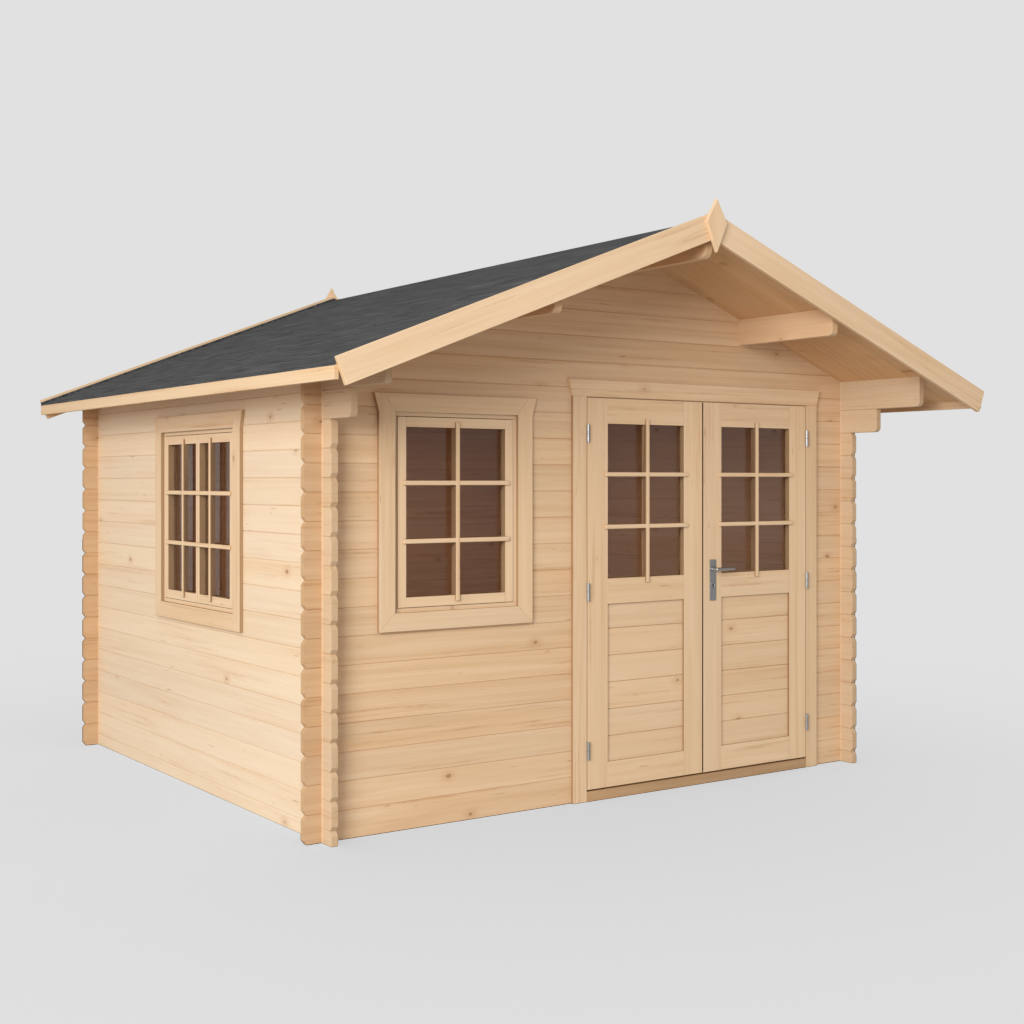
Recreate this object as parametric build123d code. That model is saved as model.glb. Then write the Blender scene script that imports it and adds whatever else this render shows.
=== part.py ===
"""Timber log cabin: one room, a felted gable roof with a deep front overhang,
a pair of glazed doors and two casement windows.

Millimetres, +Z up, the doors face -Y and +X is to the right of someone who faces them.
The origin is on the ground under the middle of the roof's plan.
"""
from build123d import *
import math
import os

# Walls: horizontal logs with a V joint, crossing at the corners
WALL_WIDTH = 3000.0
WALL_DEPTH = 2664.0
LOG_THICKNESS = 28.0
LOG_HEIGHT = 116.0
LOG_END = 80.0
JOINT_DEPTH = 3.0
JOINT_RISE = 3.0
END_DEPTH = 14.0
END_RISE = 19.0
SETTLING_GAP = 10.0
PLATE_SIDE = 135.0
CORBEL_REACH = 240.0
PLATE_REACH = 507.0
NOSE_RADIUS = 24.0

# Roof
ROOF_PITCH = 21.26
ROOF_HALF_SPAN = 1779.0
FRONT_OVERHANG = 630.0
REAR_OVERHANG = 85.0
ROOF_BOARD = 18.0
FELT = 4.0
BARGE_DEPTH = 108.0
BARGE_THICKNESS = 20.0
BARGE_UPSTAND = 24.0
FASCIA_DEPTH = 50.0
FASCIA_THICKNESS = 19.0
PURLIN_WIDTH = 38.0
PURLIN_DEPTH = 126.0
RIDGE_PURLIN_DEPTH = 142.0
PURLIN_PLACE = 760.0
PURLIN_SETBACK = 28.0
PURLIN_RADIUS = 25.0
RIDGE_RADIUS = 40.0
FINIAL_WIDTH = 112.0
FINIAL_HEIGHT = 225.0
FINIAL_SHOULDER = 100.0
FINIAL_RISE = 52.0
FINIAL_THICKNESS = 18.0

# Floor
BEARER_HEIGHT = 27.0
BEARER_WIDTH = 60.0
BEARER_COUNT = 5
FLOOR_BOARD = 18.0
FLOOR_GAP = 2.0

# Doors
DOOR_CENTRE = 508.0
LEAF_WIDTH = 686.0
LEAF_HEIGHT = 1758.0
LEAF_THICKNESS = 40.0
LEAF_FOOT = 53.0
LEAF_GAP = 5.0
MEETING_GAP = 8.0
RAIL_WIDTH = 115.0
MID_RAIL_HEIGHT = 828.0
JAMB_THICKNESS = 28.0
JAMB_DEPTH = 48.0
STOP_WIDTH = 12.0
STOP_CLEARANCE = 5.0
THRESHOLD_HEIGHT = 45.0
CASING_WIDTH = 76.0
CASING_THICKNESS = 18.0
CASING_FLARE = 22.0
GLASS = 4.0
GROOVE = 9.0
DOOR_GLASS_SET = 26.0
PANEL_SET = 11.0
PANEL_THICKNESS = 18.0

# Hinges: lift-off barrels with thin wings, three to a leaf
HINGE_RADIUS = 7.0
HINGE_LENGTH = 80.0
HINGE_STANDOFF = 1.0
HINGE_PIN_RADIUS = 3.5
HINGE_PIN_REACH = 24.0
HINGE_SPLIT = 1.0
HINGE_FIT = 0.3
HINGE_BORE_END = 2.0
HINGE_WING = 2.0
HINGE_WING_DEPTH = 28.0
HINGE_TOP_INSET = 161.0
HINGE_FOOT_INSET = 176.0

# Lever handle
LOCK_RISE = 84.0
PLATE_WIDTH = 38.0
PLATE_HEIGHT = 195.0
PLATE_THICKNESS = 5.0
SPINDLE_RISE = 51.0
SPINDLE_RADIUS = 4.0
SPINDLE_FIT = 1.0
NECK_RADIUS = 8.0
LEVER_STANDOUT = 42.0
LEVER_LENGTH = 105.0
LEVER_RADIUS = 8.0
LEVER_THICKNESS = 12.0

# Windows: the width, height and foot are the liner's, inside
WINDOW_HEIGHT = 791.0
FRONT_WINDOW_WIDTH = 580.0
FRONT_WINDOW_CENTRE = -868.0
FRONT_WINDOW_FOOT = 913.0
SIDE_WINDOW_WIDTH = 816.0
SIDE_WINDOW_CENTRE = 1250.0
SIDE_WINDOW_FOOT = 865.0
CASING_REVEAL = 17.0
HEAD_SPLAY = 54.0
LINER_THICKNESS = 22.0
LINER_DEPTH = 56.0
SASH_THICKNESS = 42.0
SASH_RECESS = 14.0
SASH_GAP = 2.0
SASH_STILE = 41.0
MEETING_STILE = 20.0
SASH_RAIL = 42.0
SASH_STOP = 10.0
SASH_GLASS_SET = 30.0
STOP_GAP = 4.0

# Sizes worked out from the driving dimensions
SLOPE = math.tan(math.radians(ROOF_PITCH))
PLUMB = 1.0 / math.cos(math.radians(ROOF_PITCH))
HALF_WALL = WALL_WIDTH / 2
HALF_ROOM = HALF_WALL - LOG_THICKNESS
WALL_REACH = HALF_WALL + LOG_END
WALL_REAR = WALL_DEPTH + LOG_END
HALF_LOG = LOG_HEIGHT / 2
FRONT_REACH = FRONT_OVERHANG + BARGE_THICKNESS + FINIAL_THICKNESS
REAR_REACH = WALL_DEPTH + REAR_OVERHANG + BARGE_THICKNESS + FINIAL_THICKNESS
PLAN_CENTRE = (REAR_REACH - FRONT_REACH) / 2
FLOOR_TOP = BEARER_HEIGHT + FLOOR_BOARD
LEAF_TOP = LEAF_FOOT + LEAF_HEIGHT
LEAF_FRONT = -CASING_THICKNESS
LEAF_BACK = LEAF_FRONT + LEAF_THICKNESS
HEAD_FOOT = LEAF_TOP + LEAF_GAP
HALF_DOORWAY = LEAF_WIDTH + MEETING_GAP / 2 + LEAF_GAP
HALF_HINGE = (HINGE_LENGTH - HINGE_SPLIT) / 2
HINGE_Y = LEAF_FRONT - HINGE_STANDOFF - HINGE_RADIUS
HINGE_TOP = LEAF_TOP - HINGE_TOP_INSET
HINGE_FOOT = LEAF_FOOT + HINGE_FOOT_INSET
HINGE_HEIGHTS = (HINGE_FOOT, (HINGE_FOOT + HINGE_TOP) / 2, HINGE_TOP)
LOCK_HEIGHT = LEAF_FOOT + MID_RAIL_HEIGHT + LOCK_RISE
SASH_FRONT = SASH_RECESS - CASING_THICKNESS
SASH_BACK = SASH_FRONT + SASH_THICKNESS

# The walls have as many logs as their doors and windows need; a side wall lies half a log lower
WINDOW_NEED = WINDOW_HEIGHT + LINER_THICKNESS + SETTLING_GAP
FRONT_NEED = max(HEAD_FOOT + JAMB_THICKNESS + SETTLING_GAP, FRONT_WINDOW_FOOT + WINDOW_NEED)
SIDE_NEED = SIDE_WINDOW_FOOT + WINDOW_NEED + HALF_LOG
FRONT_LOGS = math.ceil(max(FRONT_NEED, SIDE_NEED) / LOG_HEIGHT)
HEAD_HEIGHT = FRONT_LOGS * LOG_HEIGHT
PLATE_FOOT = HEAD_HEIGHT - HALF_LOG
RIDGE_SOFFIT = PLATE_FOOT + PLATE_SIDE + HALF_WALL * SLOPE
GABLE_LOGS = math.ceil(RIDGE_SOFFIT / LOG_HEIGHT)
ROOF_TOP = RIDGE_SOFFIT + ROOF_BOARD * PLUMB
FELT_TOP = ROOF_TOP + FELT * PLUMB
BARGE_TOP = FELT_TOP + BARGE_UPSTAND * PLUMB


def soffit(x):
    """Height of the underside of the roof boards at a distance x from the ridge."""
    return RIDGE_SOFFIT - abs(x) * SLOPE


def block(x0, x1, y0, y1, z0, z1):
    """A square-edged board between two corners."""
    middle = Pos((x0 + x1) / 2, (y0 + y1) / 2, (z0 + z1) / 2)
    return middle * Box(x1 - x0, y1 - y0, z1 - z0)


def prism_y(points, y0, y1):
    """A solid with an outline of (x, z) points, run from y0 to y1."""
    outline = Wire.make_polygon([(x, y0, z) for x, z in points], close=True)
    return Solid.extrude(Face(outline), Vector(0, y1 - y0, 0))


def prism_x(points, x0, x1):
    """A solid with an outline of (y, z) points, run from x0 to x1."""
    outline = Wire.make_polygon([(x0, y, z) for y, z in points], close=True)
    return Solid.extrude(Face(outline), Vector(x1 - x0, 0, 0))


def save(name, *solids):
    """Writes one sub-part, with the origin under the middle of the roof's plan."""
    placed = [Pos(0, -PLAN_CENTRE, 0) * solid for solid in solids]
    shape = placed[0] if len(placed) == 1 else Compound(children=placed)
    export_step(shape, f"parts/{name}.step")


def under_roof(y0, y1):
    """Everything between the ground and the underside of the roof boards."""
    x = ROOF_HALF_SPAN
    outline = [(-x, 0), (x, 0), (x, soffit(x)), (0, RIDGE_SOFFIT), (-x, soffit(x))]
    return prism_y(outline, y0, y1)


def jointed_edge(face, inward, first_joint, logs, depth, rise):
    """Points up the face or the ends of a stack of logs, with a V joint under and over each."""
    points = []
    for n in range(logs + 1):
        joint = first_joint + n * LOG_HEIGHT
        points += [(face, joint - rise), (face + inward * depth, joint), (face, joint + rise)]
    return points


def log_section(outer, inner, first_joint, logs):
    """Section through a stack of logs, between its outer and its inner face."""
    side = 1 if inner > outer else -1
    up = jointed_edge(outer, side, first_joint, logs, JOINT_DEPTH, JOINT_RISE)
    down = jointed_edge(inner, -side, first_joint, logs, JOINT_DEPTH, JOINT_RISE)
    return up + down[::-1]


def laps(x0, x1, y0, first, count):
    """Notches half a log high, where the logs of one wall pass through another."""
    y1 = y0 + LOG_THICKNESS
    feet = [first + n * LOG_HEIGHT for n in range(count)]
    return [block(x0, x1, y0, y1, foot, foot + HALF_LOG) for foot in feet]


def purlin_notches(y0):
    """Cut-outs in a gable for the ridge purlin and the two side purlins."""
    y1 = y0 + LOG_THICKNESS
    half = PURLIN_WIDTH / 2
    cuts = [block(-half, half, y0, y1, RIDGE_SOFFIT - RIDGE_PURLIN_DEPTH, RIDGE_SOFFIT)]
    foot = soffit(PURLIN_PLACE) - PURLIN_DEPTH
    for side in (-1, 1):
        x0, x1 = sorted((side * PURLIN_PLACE, side * (PURLIN_PLACE + PURLIN_WIDTH)))
        cuts.append(block(x0, x1, y0, y1, foot, RIDGE_SOFFIT))
    return cuts


def end_wall(y0):
    """A whole front or rear wall up to the roof, lapped at its corners and notched for the purlins."""
    y1 = y0 + LOG_THICKNESS
    logs = prism_x(log_section(y0, y1, 0, GABLE_LOGS), -WALL_REACH, WALL_REACH)
    left = jointed_edge(-WALL_REACH, 1, 0, GABLE_LOGS, END_DEPTH, END_RISE)
    right = [(-x, z) for x, z in left]
    elevation = prism_y(left + right[::-1], y0 - LOG_THICKNESS, y1 + LOG_THICKNESS)
    wall = logs & elevation & under_roof(y0 - LOG_THICKNESS, y1 + LOG_THICKNESS)
    first = -LOG_HEIGHT / 4
    cuts = laps(-HALF_WALL, -HALF_ROOM, y0, first, FRONT_LOGS + 1)
    cuts += laps(HALF_ROOM, HALF_WALL, y0, first, FRONT_LOGS + 1)
    return wall.cut(*cuts, *purlin_notches(y0))


def front_wall(side):
    """Front wall beside the doorway, from the ground to the door head."""
    outer = side * WALL_REACH
    doorway = DOOR_CENTRE + side * (HALF_DOORWAY + JAMB_THICKNESS)
    x0, x1 = sorted((outer, doorway))
    wall = end_wall(0) & block(x0, x1, 0, LOG_THICKNESS, 0, HEAD_HEIGHT)
    if side < 0:
        wall = wall.cut(front_window_hole())
    return wall


def front_gable():
    """Front wall over the door head, up to the roof."""
    return end_wall(0) & block(-WALL_REACH, WALL_REACH, 0, LOG_THICKNESS, HEAD_HEIGHT, RIDGE_SOFFIT)


def log_nose(x0, x1, y_tip, y_root, z0, z1, radius):
    """The free end of a log or purlin, its lower corner rounded."""
    nose = block(x0, x1, y_tip, y_root, z0, z1)
    corner = nose.edges().filter_by(Axis.X).group_by(Axis.Z)[0].sort_by(Axis.Y)[0]
    return fillet(corner, radius)


def side_wall(side):
    """Side wall up to the plate log, its top log run out as a corbel at the front."""
    outer = side * HALF_WALL
    inner = side * HALF_ROOM
    x0, x1 = sorted((outer, inner))
    logs = prism_y(log_section(outer, inner, -HALF_LOG, FRONT_LOGS), -CORBEL_REACH, WALL_REAR)
    front = jointed_edge(-LOG_END, 1, -HALF_LOG, FRONT_LOGS, END_DEPTH, END_RISE)
    rear = jointed_edge(WALL_REAR, -1, -HALF_LOG, FRONT_LOGS, END_DEPTH, END_RISE)
    elevation = prism_x(front + rear[::-1], x0 - LOG_THICKNESS, x1 + LOG_THICKNESS)
    corbel = log_nose(x0, x1, -CORBEL_REACH, 0, PLATE_FOOT - LOG_HEIGHT, PLATE_FOOT, NOSE_RADIUS)
    wall = logs & (elevation + corbel) & block(x0, x1, -CORBEL_REACH, WALL_REAR, 0, PLATE_FOOT)
    first = LOG_HEIGHT / 4
    cuts = laps(x0, x1, 0, first, FRONT_LOGS)
    cuts += laps(x0, x1, WALL_DEPTH - LOG_THICKNESS, first, FRONT_LOGS)
    wall = wall.cut(*cuts)
    if side < 0:
        wall = wall.cut(side_window_hole())
    return wall


def plate_log(side):
    """Top log of a side wall, bevelled to the roof and run out under the overhang."""
    outer = side * HALF_WALL
    inner = side * HALF_ROOM
    x0, x1 = sorted((outer, inner))
    shoulder = PLATE_FOOT + JOINT_RISE
    inset = side * JOINT_DEPTH
    section = [(outer - inset, PLATE_FOOT), (outer, shoulder), (outer, RIDGE_SOFFIT)]
    section += [(inner, RIDGE_SOFFIT), (inner, shoulder), (inner + inset, PLATE_FOOT)]
    log = prism_y(section, -PLATE_REACH, WALL_REAR) & under_roof(-PLATE_REACH, WALL_REAR)
    log = log & log_nose(x0, x1, -PLATE_REACH, WALL_REAR, PLATE_FOOT, RIDGE_SOFFIT, NOSE_RADIUS)
    lap_foot = PLATE_FOOT + LOG_HEIGHT / 4
    lap_top = lap_foot + HALF_LOG
    cuts = []
    for y0 in (0, WALL_DEPTH - LOG_THICKNESS):
        cuts.append(block(x0, x1, y0, y0 + LOG_THICKNESS, PLATE_FOOT, lap_foot))
        cuts.append(block(x0, x1, y0, y0 + LOG_THICKNESS, lap_top, RIDGE_SOFFIT))
    return log.cut(*cuts)


def purlin(x0, x1, foot, setback, radius):
    """A purlin between x0 and x1, its top bevelled to the roof and its front end rounded."""
    y0 = setback - FRONT_OVERHANG
    beam = log_nose(x0, x1, y0, WALL_REAR, foot, RIDGE_SOFFIT, radius)
    return beam & under_roof(y0, WALL_REAR)


def ridge_purlin():
    """Ridge purlin, close behind the front bargeboards."""
    half = PURLIN_WIDTH / 2
    return purlin(-half, half, RIDGE_SOFFIT - RIDGE_PURLIN_DEPTH, PURLIN_SETBACK / 2, RIDGE_RADIUS)


def side_purlin(side):
    """Purlin half way down one slope."""
    x0, x1 = sorted((side * PURLIN_PLACE, side * (PURLIN_PLACE + PURLIN_WIDTH)))
    return purlin(x0, x1, soffit(PURLIN_PLACE) - PURLIN_DEPTH, PURLIN_SETBACK, PURLIN_RADIUS)


def roof_layer(side, underside, thickness, reach):
    """A sheet on one slope, from the ridge to reach, with plumb-cut edges."""
    foot = underside - reach * SLOPE
    rise = thickness * PLUMB
    x = side * reach
    points = [(0, underside), (x, foot), (x, foot + rise), (0, underside + rise)]
    return prism_y(points, -FRONT_OVERHANG, WALL_DEPTH + REAR_OVERHANG)


def bargeboard(side, y0):
    """A board up one edge of the roof, plumb at the ridge and square at the eave."""
    angle = math.radians(ROOF_PITCH)
    tip = (ROOF_HALF_SPAN, BARGE_TOP - ROOF_HALF_SPAN * SLOPE)
    heel = (tip[0] - BARGE_DEPTH * math.sin(angle), tip[1] - BARGE_DEPTH * math.cos(angle))
    points = [(0, BARGE_TOP), tip, heel, (0, BARGE_TOP - BARGE_DEPTH * PLUMB)]
    return prism_y([(side * x, z) for x, z in points], y0, y0 + BARGE_THICKNESS)


def eave_fascia(side):
    """Board along the eave, under the felt and over the roof boards' ends."""
    near = ROOF_HALF_SPAN - FASCIA_THICKNESS
    top_near = ROOF_TOP - near * SLOPE
    top_far = ROOF_TOP - ROOF_HALF_SPAN * SLOPE
    foot = top_far - FASCIA_DEPTH
    points = [(near, foot), (near, top_near), (ROOF_HALF_SPAN, top_far), (ROOF_HALF_SPAN, foot)]
    y0, y1 = -FRONT_OVERHANG, WALL_DEPTH + REAR_OVERHANG
    return prism_y([(side * x, z) for x, z in points], y0, y1)


def finial(y0):
    """Diamond board over the mitre of the bargeboards."""
    top = BARGE_TOP + FINIAL_RISE
    half = FINIAL_WIDTH / 2
    points = [(0, top), (half, top - FINIAL_SHOULDER), (0, top - FINIAL_HEIGHT), (-half, top - FINIAL_SHOULDER)]
    return prism_y(points, y0, y0 + FINIAL_THICKNESS)


def floor_bearers():
    """Bearers laid front to back under the floor boards."""
    first = -HALF_ROOM + FLOOR_GAP
    pitch = (2 * -first - BEARER_WIDTH) / (BEARER_COUNT - 1)
    y0, y1 = JAMB_DEPTH + FLOOR_GAP, WALL_DEPTH - LOG_THICKNESS - FLOOR_GAP
    starts = [first + n * pitch for n in range(BEARER_COUNT)]
    return [block(x, x + BEARER_WIDTH, y0, y1, 0, BEARER_HEIGHT) for x in starts]


def floor_boards():
    """The floor, notched round the door's jambs and threshold."""
    x = HALF_ROOM - FLOOR_GAP
    y0, y1 = LOG_THICKNESS + FLOOR_GAP, WALL_DEPTH - LOG_THICKNESS - FLOOR_GAP
    floor = block(-x, x, y0, y1, BEARER_HEIGHT, FLOOR_TOP)
    half = HALF_DOORWAY + JAMB_THICKNESS + FLOOR_GAP
    y2 = JAMB_DEPTH + FLOOR_GAP
    return floor - block(DOOR_CENTRE - half, DOOR_CENTRE + half, y0, y2, BEARER_HEIGHT, FLOOR_TOP)


def door_jamb(side):
    """One upright of the door frame, with the stop that the leaf closes against."""
    face = DOOR_CENTRE + side * HALF_DOORWAY
    back = face + side * JAMB_THICKNESS
    stop = face - side * STOP_WIDTH
    stop_y = LEAF_BACK + STOP_CLEARANCE
    x0, x1 = sorted((face, back))
    s0, s1 = sorted((face, stop))
    jamb = block(x0, x1, 0, JAMB_DEPTH, 0, HEAD_FOOT)
    return jamb + block(s0, s1, stop_y, JAMB_DEPTH, THRESHOLD_HEIGHT, HEAD_FOOT)


def door_head():
    """Head of the door frame, with its stop."""
    half = HALF_DOORWAY + JAMB_THICKNESS
    stop_y = LEAF_BACK + STOP_CLEARANCE
    x0, x1 = DOOR_CENTRE - half, DOOR_CENTRE + half
    head = block(x0, x1, 0, JAMB_DEPTH, HEAD_FOOT, HEAD_FOOT + JAMB_THICKNESS)
    clear = HALF_DOORWAY - STOP_WIDTH
    x0, x1 = DOOR_CENTRE - clear, DOOR_CENTRE + clear
    return head + block(x0, x1, stop_y, JAMB_DEPTH, HEAD_FOOT - STOP_WIDTH, HEAD_FOOT)


def door_casing(side):
    """Upright casing board beside the doors."""
    face = DOOR_CENTRE + side * HALF_DOORWAY
    x0, x1 = sorted((face, face + side * CASING_WIDTH))
    return block(x0, x1, -CASING_THICKNESS, 0, 0, HEAD_FOOT)


def door_casing_head():
    """Casing board over the doors, across both uprights, splayed at its ends."""
    half = HALF_DOORWAY + CASING_WIDTH
    wide = half + CASING_FLARE
    top = HEAD_FOOT + CASING_WIDTH
    outline = [(-half, HEAD_FOOT), (half, HEAD_FOOT), (wide, top), (-wide, top)]
    return prism_y([(DOOR_CENTRE + x, z) for x, z in outline], -CASING_THICKNESS, 0)


def threshold():
    """Sill under the doors, between the casing boards and the jambs."""
    x0, x1 = DOOR_CENTRE - HALF_DOORWAY, DOOR_CENTRE + HALF_DOORWAY
    return block(x0, x1, -CASING_THICKNESS, JAMB_DEPTH, 0, THRESHOLD_HEIGHT)


def hinge_axis(side):
    """X of a leaf's hinge axis, in the middle of the gap beside the leaf."""
    return DOOR_CENTRE + side * (HALF_DOORWAY - LEAF_GAP / 2)


def hinge_wings(side, toward, z0, z1, z):
    """A thin plate in the gap beside the leaf, joined to the barrel's half between z0 and z1."""
    axis = hinge_axis(side)
    x0, x1 = sorted((axis + toward * (LEAF_GAP / 2 - HINGE_WING), axis + toward * LEAF_GAP / 2))
    half = HINGE_LENGTH / 2
    plate = block(x0, x1, LEAF_FRONT, LEAF_FRONT + HINGE_WING_DEPTH, z - half, z + half)
    return plate + block(x0, x1, HINGE_Y, LEAF_FRONT, z0, z1)


def hinge_pin(side, z):
    """Lower, fixed half of a hinge, with the pin that the upper half turns on."""
    foot = z - HINGE_LENGTH / 2
    place = Pos(hinge_axis(side), HINGE_Y, foot)
    low = (Align.CENTER, Align.CENTER, Align.MIN)
    barrel = place * Cylinder(HINGE_RADIUS, HALF_HINGE, align=low)
    pin = place * Cylinder(HINGE_PIN_RADIUS, HALF_HINGE + HINGE_PIN_REACH, align=low)
    return barrel + pin + hinge_wings(side, side, foot, foot + HALF_HINGE, z)


def hinge_socket(side, z):
    """Upper half of a hinge, which turns with the leaf."""
    foot = z + HINGE_SPLIT / 2
    place = Pos(hinge_axis(side), HINGE_Y, foot)
    low = (Align.CENTER, Align.CENTER, Align.MIN)
    barrel = place * Cylinder(HINGE_RADIUS, HALF_HINGE, align=low)
    barrel += hinge_wings(side, -side, foot, foot + HALF_HINGE, z)
    bore = place * Cylinder(HINGE_PIN_RADIUS + HINGE_FIT, HINGE_PIN_REACH + HINGE_BORE_END, align=low)
    return barrel - bore


def leaf_edges(side):
    """X of a leaf's meeting edge and of its hinged edge."""
    meeting = DOOR_CENTRE + side * MEETING_GAP / 2
    return meeting, meeting + side * LEAF_WIDTH


def leaf_fields():
    """Heights of the leaf's rails: bottom, middle and top, each as (foot, top)."""
    middle = LEAF_FOOT + MID_RAIL_HEIGHT
    return [
        (LEAF_FOOT, LEAF_FOOT + RAIL_WIDTH),
        (middle, middle + RAIL_WIDTH),
        (LEAF_TOP - RAIL_WIDTH, LEAF_TOP),
    ]


def leaf_field(side, lower_rail, y0, thickness):
    """A sheet held in a groove all round, above one of the leaf's rails."""
    meeting, hinged = leaf_edges(side)
    lap = RAIL_WIDTH - GROOVE
    x0, x1 = sorted((meeting + side * lap, hinged - side * lap))
    rails = leaf_fields()
    z0, z1 = rails[lower_rail][1] - GROOVE, rails[lower_rail + 1][0] + GROOVE
    return block(x0, x1, y0, y0 + thickness, z0, z1)


def leaf_panel(side):
    """The boarded panel in the lower field."""
    return leaf_field(side, 0, LEAF_FRONT + PANEL_SET, PANEL_THICKNESS)


def leaf_pane(side):
    """The sheet of glass in the upper field."""
    return leaf_field(side, 1, LEAF_FRONT + DOOR_GLASS_SET, GLASS)


def leaf_stiles(side):
    """The two uprights of a leaf, grooved for the glass and the panel."""
    meeting, hinged = leaf_edges(side)
    stiles = []
    for edge, inward in ((meeting, side), (hinged, -side)):
        x0, x1 = sorted((edge, edge + inward * RAIL_WIDTH))
        stile = block(x0, x1, LEAF_FRONT, LEAF_BACK, LEAF_FOOT, LEAF_TOP)
        stiles.append(stile.cut(leaf_pane(side), leaf_panel(side)))
    if side > 0:
        stiles[0] = stiles[0].cut(spindle_hole())
    return stiles


def leaf_rails(side):
    """The three cross rails of a leaf, between its stiles."""
    meeting, hinged = leaf_edges(side)
    x0, x1 = sorted((meeting + side * RAIL_WIDTH, hinged - side * RAIL_WIDTH))
    rails = [block(x0, x1, LEAF_FRONT, LEAF_BACK, foot, top) for foot, top in leaf_fields()]
    return [rail.cut(leaf_pane(side), leaf_panel(side)) for rail in rails]


def lock_place():
    """X of the lock's spindle and Z of its axis, on the right leaf's meeting stile."""
    return leaf_edges(1)[0] + RAIL_WIDTH / 2, LOCK_HEIGHT + SPINDLE_RISE


def turned_y(radius, y0, y1):
    """A round bar on the lock's axis, from y0 to y1."""
    x, z = lock_place()
    bar = Plane(origin=(x, y0, z), z_dir=(0, 1, 0))
    return bar * Cylinder(radius, y1 - y0, align=(Align.CENTER, Align.CENTER, Align.MIN))


def spindle_hole():
    """Clearance hole through the stile for the spindle."""
    return turned_y(SPINDLE_RADIUS + SPINDLE_FIT, LEAF_FRONT, LEAF_BACK)


def lock_plates():
    """Long backplates on the outer and the inner face of the right leaf."""
    x = lock_place()[0]
    half = PLATE_WIDTH / 2
    z0, z1 = LOCK_HEIGHT - PLATE_HEIGHT / 2, LOCK_HEIGHT + PLATE_HEIGHT / 2
    plates = []
    outside = (LEAF_FRONT - PLATE_THICKNESS, LEAF_FRONT)
    inside = (LEAF_BACK, LEAF_BACK + PLATE_THICKNESS)
    for y0, y1 in (outside, inside):
        plate = block(x - half, x + half, y0, y1, z0, z1)
        plates.append(plate - turned_y(NECK_RADIUS + SPINDLE_FIT, y0, y1))
    return plates


def lever_pair():
    """Both lever handles on their common spindle."""
    x, z = lock_place()
    outer = LEAF_FRONT - LEVER_STANDOUT
    inner = LEAF_BACK + LEVER_STANDOUT
    lever = turned_y(SPINDLE_RADIUS, LEAF_FRONT, LEAF_BACK)
    lever += turned_y(NECK_RADIUS, outer, LEAF_FRONT)
    lever += turned_y(NECK_RADIUS, LEAF_BACK, inner)
    for y0 in (outer, inner - LEVER_THICKNESS):
        middle = Plane(origin=(x + LEVER_LENGTH / 2, y0, z), x_dir=(-1, 0, 0), z_dir=(0, 1, 0))
        grip = SlotCenterToCenter(LEVER_LENGTH, 2 * LEVER_RADIUS)
        lever += extrude(middle * grip, amount=LEVER_THICKNESS)
    return lever


def on_left_wall(shape):
    """Turns a piece made for the front wall so that it sits on the left wall."""
    return Pos(-HALF_WALL, SIDE_WINDOW_CENTRE, 0) * Rot(0, 0, -90) * shape


def on_front_wall(shape):
    """Moves a piece made about x = 0 to the front window's place."""
    return Pos(FRONT_WINDOW_CENTRE, 0, 0) * shape


def window_hole(width, foot):
    """The hole in the logs, as wide as the liner outside."""
    half = width / 2 + LINER_THICKNESS
    y1 = LOG_THICKNESS
    return block(-half, half, 0, y1, foot - LINER_THICKNESS, foot + WINDOW_HEIGHT + LINER_THICKNESS)


def front_window_hole():
    """The front window's hole in the wall."""
    return on_front_wall(window_hole(FRONT_WINDOW_WIDTH, FRONT_WINDOW_FOOT))


def side_window_hole():
    """The side window's hole in the wall."""
    return on_left_wall(window_hole(SIDE_WINDOW_WIDTH, SIDE_WINDOW_FOOT))


def casing_opening(width, foot):
    """Half width, foot and top of the casing's opening, set back from the liner's inner face."""
    return width / 2 + CASING_REVEAL, foot - CASING_REVEAL, foot + WINDOW_HEIGHT + CASING_REVEAL


def window_casing_sides(width, foot):
    """The two upright casing boards, mitred at the foot and flared beside the head."""
    half, low, high = casing_opening(width, foot)
    outer = half + CASING_WIDTH
    top = high + CASING_WIDTH
    outline = [(half, low), (outer, low - CASING_WIDTH), (outer, high)]
    outline += [(outer + CASING_FLARE, top), (half + HEAD_SPLAY, top), (half, high)]
    right = prism_y(outline, -CASING_THICKNESS, 0)
    return [right, mirror(right, Plane.YZ)]


def window_casing_ends(width, foot):
    """The casing head, keyed between the uprights, and the mitred board under the window."""
    half, low, high = casing_opening(width, foot)
    top = high + CASING_WIDTH
    wide = half + HEAD_SPLAY
    outer = half + CASING_WIDTH
    base = low - CASING_WIDTH
    head = [(-half, high), (half, high), (wide, top), (-wide, top)]
    apron = [(-half, low), (half, low), (outer, base), (-outer, base)]
    return [prism_y(outline, -CASING_THICKNESS, 0) for outline in (head, apron)]


def window_jambs(width, foot):
    """The liner's uprights, each with a stop behind the sash."""
    half = width / 2
    y_stop = SASH_BACK + STOP_GAP
    top = foot + WINDOW_HEIGHT
    jamb = block(half, half + LINER_THICKNESS, 0, LINER_DEPTH, foot, top)
    jamb += block(half - SASH_STOP, half, y_stop, LINER_DEPTH, foot, top)
    return [jamb, mirror(jamb, Plane.YZ)]


def window_heads(width, foot):
    """The liner's head and sill, each with a stop behind the sash."""
    half = width / 2 + LINER_THICKNESS
    clear = width / 2 - SASH_STOP
    y_stop = SASH_BACK + STOP_GAP
    top = foot + WINDOW_HEIGHT
    sill = block(-half, half, 0, LINER_DEPTH, foot - LINER_THICKNESS, foot)
    sill += block(-clear, clear, y_stop, LINER_DEPTH, foot, foot + SASH_STOP)
    head = block(-half, half, 0, LINER_DEPTH, top, top + LINER_THICKNESS)
    head += block(-clear, clear, y_stop, LINER_DEPTH, top - SASH_STOP, top)
    return [sill, head]


def sash_pane(x0, x1, foot):
    """The glass of a sash whose stiles' inner edges are x0 and x1, in a groove all round."""
    y = SASH_FRONT + SASH_GLASS_SET
    end = SASH_GAP + SASH_RAIL - GROOVE
    return block(x0 - GROOVE, x1 + GROOVE, y, y + GLASS, foot + end, foot + WINDOW_HEIGHT - end)


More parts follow.
